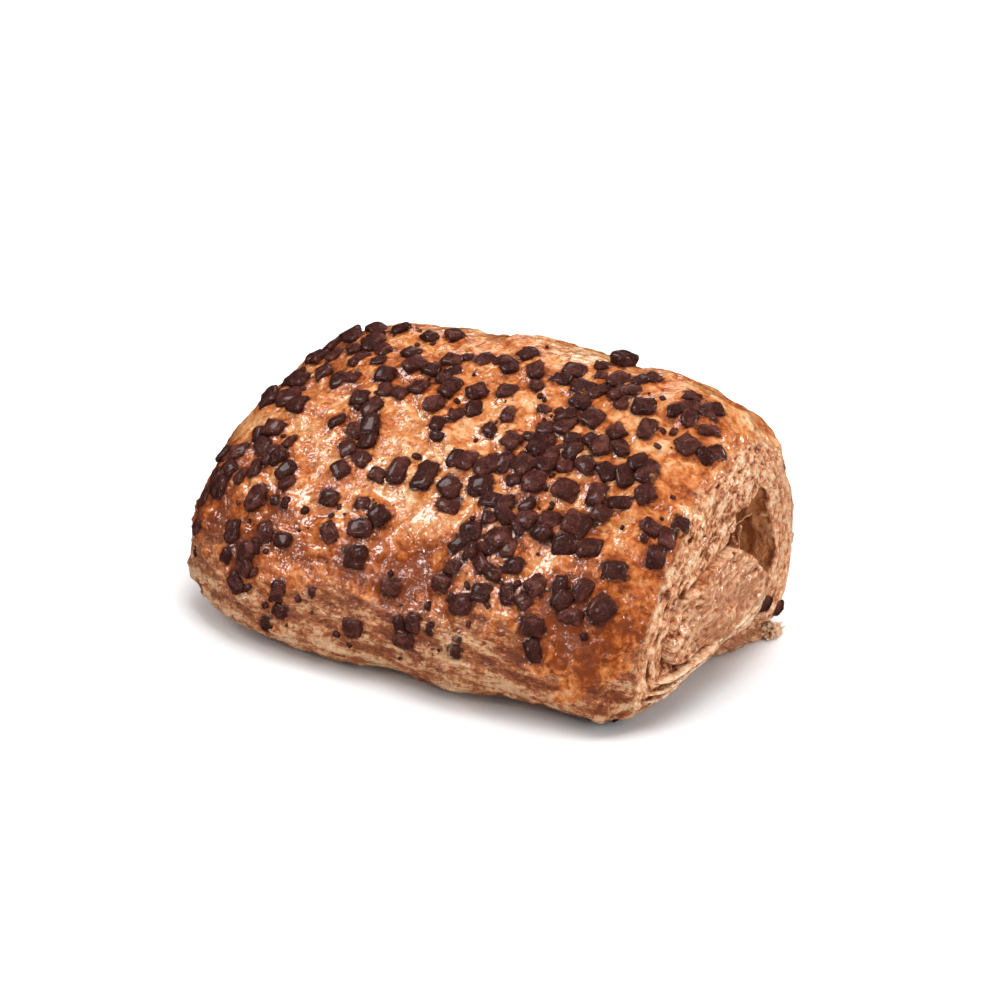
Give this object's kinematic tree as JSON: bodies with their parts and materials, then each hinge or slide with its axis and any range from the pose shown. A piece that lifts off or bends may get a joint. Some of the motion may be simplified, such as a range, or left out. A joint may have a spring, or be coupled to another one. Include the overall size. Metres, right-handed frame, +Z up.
{
  "type": "chocolate puff pastry",
  "caption": "Baked puff pastry roll topped with chocolate chips, with a layered cut end that shows a hollow between the inner fold and the wrap.",
  "frame": {"origin": "centre of the bounding box at the flat base", "axes": "+X along the roll towards the layered cut end with the hollow, -Y towards the long side with most of its chips in view, +Z up"},
  "size_m": [0.1084, 0.0738, 0.0513],
  "materials": {
    "baked_dough": "baked and egg glazed, satin"
  },
  "bodies": {
    "root": {"pastry": "baked_dough"}
  },
  "joints": []
}
